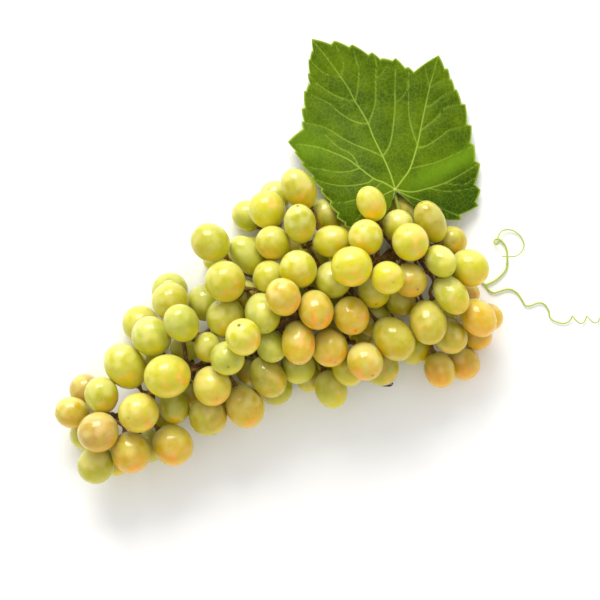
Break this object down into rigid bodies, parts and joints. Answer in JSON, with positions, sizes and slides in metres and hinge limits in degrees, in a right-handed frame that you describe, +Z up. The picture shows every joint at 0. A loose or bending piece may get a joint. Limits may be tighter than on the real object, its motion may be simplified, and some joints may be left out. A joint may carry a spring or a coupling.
{
  "type": "bunch of grapes",
  "caption": "Picked bunch of white table grapes lying on its side, with a lobed vine leaf and a curling tendril at its stem end, for a fruit bowl, table or still life.",
  "frame": {"origin": "on the surface that the bunch lies on, under the middle of its box", "axes": "+X runs along the bunch from its tip to its stem end, +Y towards the leaf, +Z up from the surface it lies on"},
  "size_m": [0.2972, 0.2156, 0.0708],
  "materials": {
    "berry_skin": "ripe white grape skin: yellow green to golden amber, translucent and smooth, under a thin pale waxy bloom",
    "green_stem": "green-brown grape stem, matt, with a rough skin",
    "vine_leaf": "fresh vine leaf: mid green, satin, with pale raised veins",
    "tendril_green": "young tendril: yellow green, smooth, satin"
  },
  "bodies": {
    "root": {"leaf_blade": "vine_leaf", "leaf_stalk": "green_stem", "rachis": "green_stem", "sprig_01": "berry_skin", "sprig_02": "berry_skin", "sprig_03": "berry_skin", "sprig_04": "berry_skin", "sprig_05": "berry_skin", "sprig_06": "berry_skin", "sprig_07": "berry_skin", "sprig_08": "berry_skin", "sprig_09": "berry_skin", "sprig_10": "berry_skin", "sprig_11": "berry_skin", "sprig_12": "berry_skin", "sprig_13": "berry_skin", "sprig_14": "berry_skin", "sprig_15": "berry_skin", "sprig_16": "berry_skin", "sprig_17": "berry_skin", "sprig_18": "berry_skin", "sprig_19": "berry_skin", "sprig_20": "berry_skin", "sprig_21": "berry_skin", "sprig_22": "berry_skin", "sprig_23": "berry_skin", "sprig_24": "berry_skin", "sprig_25": "berry_skin", "sprig_26": "berry_skin", "sprig_27": "berry_skin", "sprig_28": "berry_skin", "sprig_29": "berry_skin", "sprig_30": "berry_skin", "sprig_31": "berry_skin", "sprig_32": "berry_skin", "sprig_33": "berry_skin", "sprig_34": "berry_skin", "sprig_35": "berry_skin", "sprig_36": "berry_skin", "sprig_37": "berry_skin", "sprig_38": "berry_skin", "sprig_39": "berry_skin", "sprig_40": "berry_skin", "sprig_41": "berry_skin", "sprig_42": "berry_skin", "tendril": "tendril_green"}
  },
  "joints": []
}
